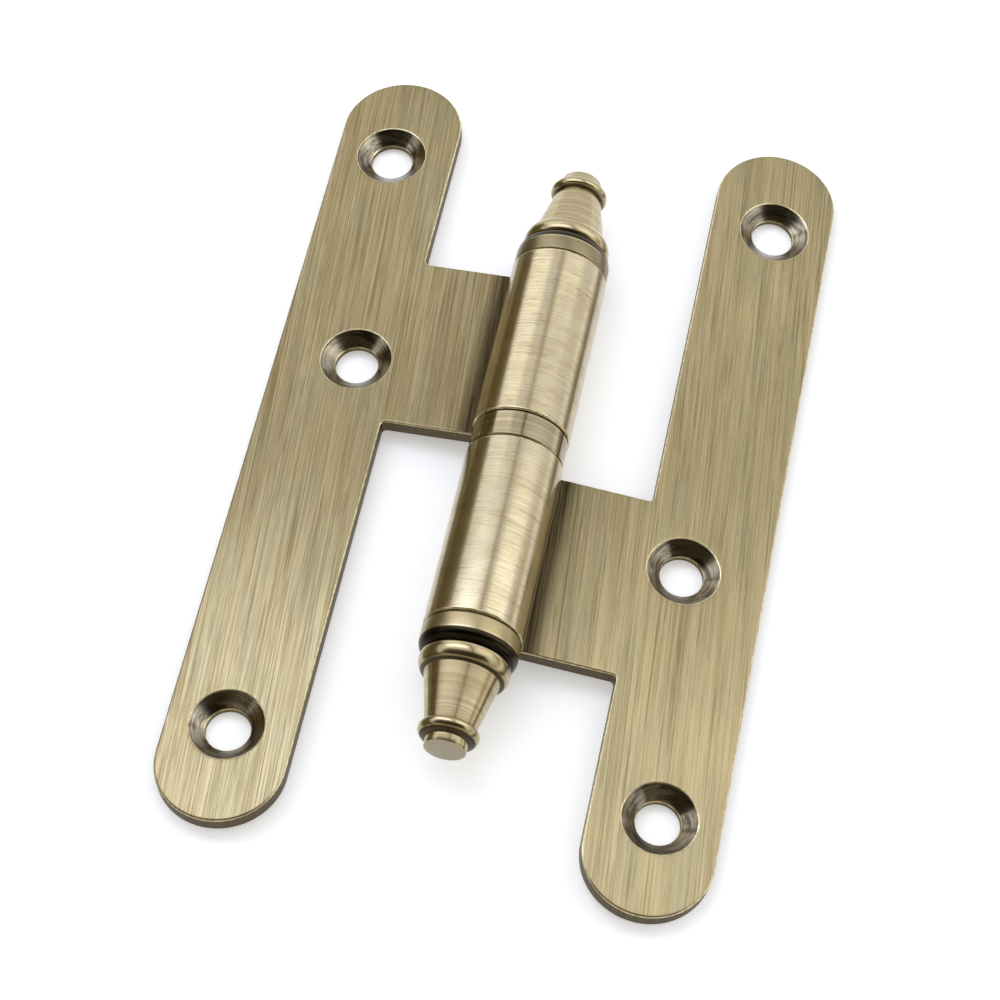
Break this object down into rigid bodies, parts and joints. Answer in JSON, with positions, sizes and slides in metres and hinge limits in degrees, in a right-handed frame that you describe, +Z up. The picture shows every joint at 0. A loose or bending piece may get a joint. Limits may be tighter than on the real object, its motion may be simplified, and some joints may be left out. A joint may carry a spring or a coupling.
{
  "type": "lift-off door hinge",
  "caption": "Lift-off door hinge with two long round-ended leaves, each folded into a knuckle, on a fixed pin with a ring between and turned finials at the ends.",
  "frame": {"origin": "middle of the ring, straight below it on the surface that the open hinge lies on", "axes": "+Y along the pin toward the upper knuckle, +X toward the lower leaf, +Z up, out of the countersunk faces"},
  "size_m": [0.0678, 0.1146, 0.0125],
  "materials": {
    "leaf_brass": "brushed antique brass, darkened in the brush lines",
    "turned_brass": "turned antique brass, dark in the grooves",
    "ring_brass": "fine turned, greyish",
    "pin_steel": "bright drawn"
  },
  "bodies": {
    "lower_half": {"lower_leaf": "leaf_brass", "pin": "pin_steel", "lower_finial": "turned_brass"},
    "ring": {"ring": "ring_brass"},
    "upper_half": {"upper_leaf": "leaf_brass", "upper_finial": "turned_brass"}
  },
  "joints": [
    {"name": "swing", "type": "hinge", "parent": "lower_half", "child": "ring", "pos_m": [0, 0, 0.00625], "axis": [0, 1, 0], "range_deg": [-147, 189.7]},
    {"name": "lift_off", "type": "slide", "parent": "ring", "child": "upper_half", "axis": [0, 1, 0], "range_m": [0, 0.02]}
  ]
}
